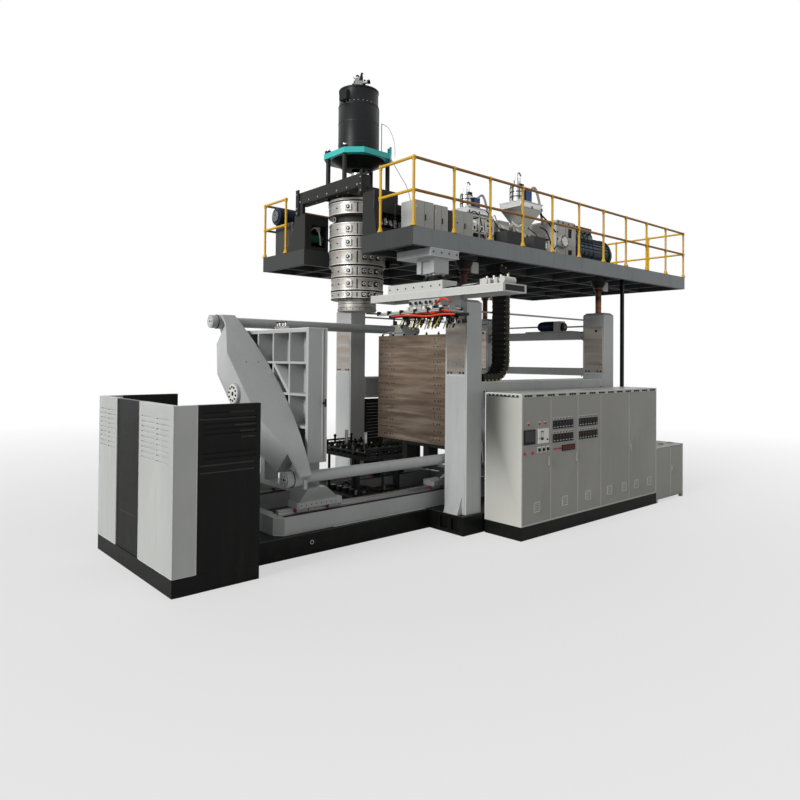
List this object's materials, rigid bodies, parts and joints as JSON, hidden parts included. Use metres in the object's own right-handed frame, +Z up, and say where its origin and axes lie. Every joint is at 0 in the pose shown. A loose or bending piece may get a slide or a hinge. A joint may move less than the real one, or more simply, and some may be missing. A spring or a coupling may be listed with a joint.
{
  "type": "blow moulding machine",
  "caption": "Accumulator blow moulding machine with a two-platen clamp, a raised extruder platform with handrails, a hanging die head, a take-out robot and control cabinets.",
  "frame": {"origin": "on the floor below the parison axis, on the underside of the machine bed's middle cross beam", "axes": "+X along the clamp stroke towards the extruder end, +Y across the machine away from the operator's side, +Z up"},
  "size_m": [11.155, 5.336, 7.325],
  "materials": {
    "black_paint": "gloss",
    "base_paint": "satin",
    "machine_grey": "satin",
    "casing_grey": "satin",
    "deck_grey": "satin",
    "rail_yellow": "gloss",
    "rusty_steel": "matt",
    "machined_steel": "satin",
    "ground_steel": "satin",
    "heater_steel": "satin",
    "hard_chrome": "polished",
    "teal_paint": "gloss",
    "robot_white": "satin",
    "motor_blue": "satin",
    "hopper_steel": "satin",
    "gear_plastic": "matt",
    "stop_red": "gloss",
    "knob_black": "gloss",
    "chain_black": "matt",
    "bright_steel": "polished"
  },
  "bodies": {
    "frame": {"machine_bed": "black_paint", "column_base": "black_paint", "columns": "machine_grey", "side_beams": "machine_grey", "right_cross_beams": "machine_grey", "lift_drive": "casing_grey", "rail_beams": "machine_grey", "linear_rails": "ground_steel", "travel_cylinders": "casing_grey", "guard_corner_panels": "casing_grey", "guard_dark_panels": "black_paint", "plinths": "black_paint", "cabinet_body": "machine_grey", "electrical_gear": "gear_plastic", "low_cabinet": "machine_grey", "blow_unit_base": "base_paint", "energy_chain": "chain_black"},
    "platform": {"platform_frame": "deck_grey", "jack_screws": "rusty_steel", "handrails": "rail_yellow", "die_head": "heater_steel", "crosshead_frame": "machine_grey", "cylinder_plate": "teal_paint", "head_cylinder": "machine_grey", "extruder_barrels": "heater_steel", "extruder_gearboxes": "casing_grey", "extruder_motors": "motor_blue", "material_hoppers": "hopper_steel", "platform_boxes": "casing_grey", "robot_pedestal": "machine_grey", "cable_post": "casing_grey"},
    "left_clamp": {"left_yoke": "machine_grey", "tie_bars": "hard_chrome", "left_carriage": "machine_grey"},
    "left_mould_platen": {"left_platen": "machine_grey"},
    "right_clamp": {"right_platen": "machined_steel", "right_yoke": "machine_grey", "right_carriage": "machine_grey"},
    "mandrel": {"die_mandrel": "ground_steel"},
    "accumulator_piston": {"shot_piston": "ground_steel"},
    "front_extruder_screw": {"front_screw": "ground_steel"},
    "rear_extruder_screw": {"rear_screw": "ground_steel"},
    "door_1": {"cabinet_door_1": "machine_grey"},
    "door_2": {"cabinet_door_2": "machine_grey"},
    "door_3": {"cabinet_door_3": "machine_grey"},
    "door_4": {"cabinet_door_4": "machine_grey"},
    "door_5": {"cabinet_door_5": "machine_grey"},
    "oil_cabinet_door": {"low_cabinet_door": "machine_grey"},
    "stop_push": {"stop_button": "stop_red"},
    "emergency_push": {"emergency_button": "stop_red"},
    "selector_1": {"selector_knob_1": "knob_black"},
    "selector_2": {"selector_knob_2": "knob_black"},
    "selector_3": {"selector_knob_3": "knob_black"},
    "robot_arm": {"robot_beam": "robot_white"},
    "gripper_truck": {"robot_truck": "casing_grey"},
    "gripper_left": {"left_jaw": "bright_steel"},
    "gripper_right": {"right_jaw": "bright_steel"},
    "blow_table_lift": {"blow_table": "casing_grey"},
    "front_spreader_slide": {"front_spreader": "bright_steel"},
    "rear_spreader_slide": {"rear_spreader": "bright_steel"}
  },
  "joints": [
    {"name": "platform_lift", "type": "slide", "parent": "frame", "child": "platform", "axis": [0, 0, 1], "range_m": [-0.25, 0.15], "deforming": ["energy_chain"]},
    {"name": "left_clamp_travel", "type": "slide", "parent": "frame", "child": "left_clamp", "axis": [1, 0, 0], "range_m": [0, 0.76]},
    {"name": "left_platen_press", "type": "slide", "parent": "left_clamp", "child": "left_mould_platen", "axis": [1, 0, 0], "range_m": [0, 0.04]},
    {"name": "right_clamp_travel", "type": "slide", "parent": "frame", "child": "right_clamp", "axis": [-1, 0, 0], "range_m": [0, 0.76]},
    {"name": "mandrel_wall_control", "type": "slide", "parent": "platform", "child": "mandrel", "axis": [0, 0, 1], "range_m": [-0.03, 0.05]},
    {"name": "shot_stroke", "type": "slide", "parent": "platform", "child": "accumulator_piston", "axis": [0, 0, 1], "range_m": [-0.35, 0.25]},
    {"name": "front_screw_turn", "type": "hinge", "parent": "platform", "child": "front_extruder_screw", "pos_m": [0.64, -0.86, 5.01], "axis": [1, 0, 0], "continuous": true},
    {"name": "rear_screw_turn", "type": "hinge", "parent": "platform", "child": "rear_extruder_screw", "pos_m": [0.64, 0.86, 5.01], "axis": [1, 0, 0], "continuous": true},
    {"name": "door_1_hinge", "type": "hinge", "parent": "frame", "child": "door_1", "pos_m": [1.219, -2.494, 1.17], "axis": [0, 0, -1], "range_deg": [0, 90]},
    {"name": "door_2_hinge", "type": "hinge", "parent": "frame", "child": "door_2", "pos_m": [1.931, -2.494, 1.17], "axis": [0, 0, -1], "range_deg": [0, 90]},
    {"name": "door_3_hinge", "type": "hinge", "parent": "frame", "child": "door_3", "pos_m": [3.337, -2.494, 1.17], "axis": [0, 0, 1], "range_deg": [0, 84]},
    {"name": "door_4_hinge", "type": "hinge", "parent": "frame", "child": "door_4", "pos_m": [3.365, -2.494, 1.17], "axis": [0, 0, -1], "range_deg": [0, 84]},
    {"name": "door_5_hinge", "type": "hinge", "parent": "frame", "child": "door_5", "pos_m": [5.256, -2.494, 1.17], "axis": [0, 0, 1], "range_deg": [0, 90]},
    {"name": "oil_door_hinge", "type": "hinge", "parent": "frame", "child": "oil_cabinet_door", "pos_m": [6.346, -2.494, 0.56], "axis": [0, 0, 1], "range_deg": [0, 90]},
    {"name": "stop_press", "type": "slide", "parent": "door_1", "child": "stop_push", "axis": [0, 1, 0], "range_m": [0, 0.005], "stiffness_N_per_m": 800},
    {"name": "emergency_press", "type": "slide", "parent": "door_1", "child": "emergency_push", "axis": [0, 1, 0], "range_m": [0, 0.005], "stiffness_N_per_m": 800},
    {"name": "selector_1_turn", "type": "hinge", "parent": "door_1", "child": "selector_1", "pos_m": [1.613, -2.5, 1.332], "axis": [0, 1, 0], "range_deg": [-45, 45]},
    {"name": "selector_2_turn", "type": "hinge", "parent": "door_1", "child": "selector_2", "pos_m": [1.722, -2.5, 1.332], "axis": [0, 1, 0], "range_deg": [-45, 45]},
    {"name": "selector_3_turn", "type": "hinge", "parent": "door_1", "child": "selector_3", "pos_m": [1.83, -2.5, 1.332], "axis": [0, 1, 0], "range_deg": [-45, 45]},
    {"name": "robot_lift", "type": "slide", "parent": "platform", "child": "robot_arm", "axis": [0, 0, 1], "range_m": [-0.15, 0.03]},
    {"name": "gripper_travel", "type": "slide", "parent": "robot_arm", "child": "gripper_truck", "axis": [0, 1, 0], "range_m": [-1, 0.7]},
    {"name": "left_jaw_close", "type": "slide", "parent": "gripper_truck", "child": "gripper_left", "axis": [1, 0, 0], "range_m": [0, 0.1]},
    {"name": "right_jaw_close", "type": "slide", "parent": "gripper_truck", "child": "gripper_right", "axis": [-1, 0, 0], "range_m": [0, 0.1]},
    {"name": "table_lift", "type": "slide", "parent": "frame", "child": "blow_table_lift", "axis": [0, 0, 1], "range_m": [-0.15, 0.08]},
    {"name": "front_spread", "type": "slide", "parent": "blow_table_lift", "child": "front_spreader_slide", "axis": [0, -1, 0], "range_m": [0, 0.12]},
    {"name": "rear_spread", "type": "slide", "parent": "blow_table_lift", "child": "rear_spreader_slide", "axis": [0, 1, 0], "range_m": [0, 0.12]}
  ],
  "couplings": [
    {"joint": "right_clamp_travel", "follows": "left_clamp_travel", "ratio": 1},
    {"joint": "left_jaw_close", "follows": "right_jaw_close", "ratio": 1},
    {"joint": "front_spread", "follows": "rear_spread", "ratio": 1}
  ]
}
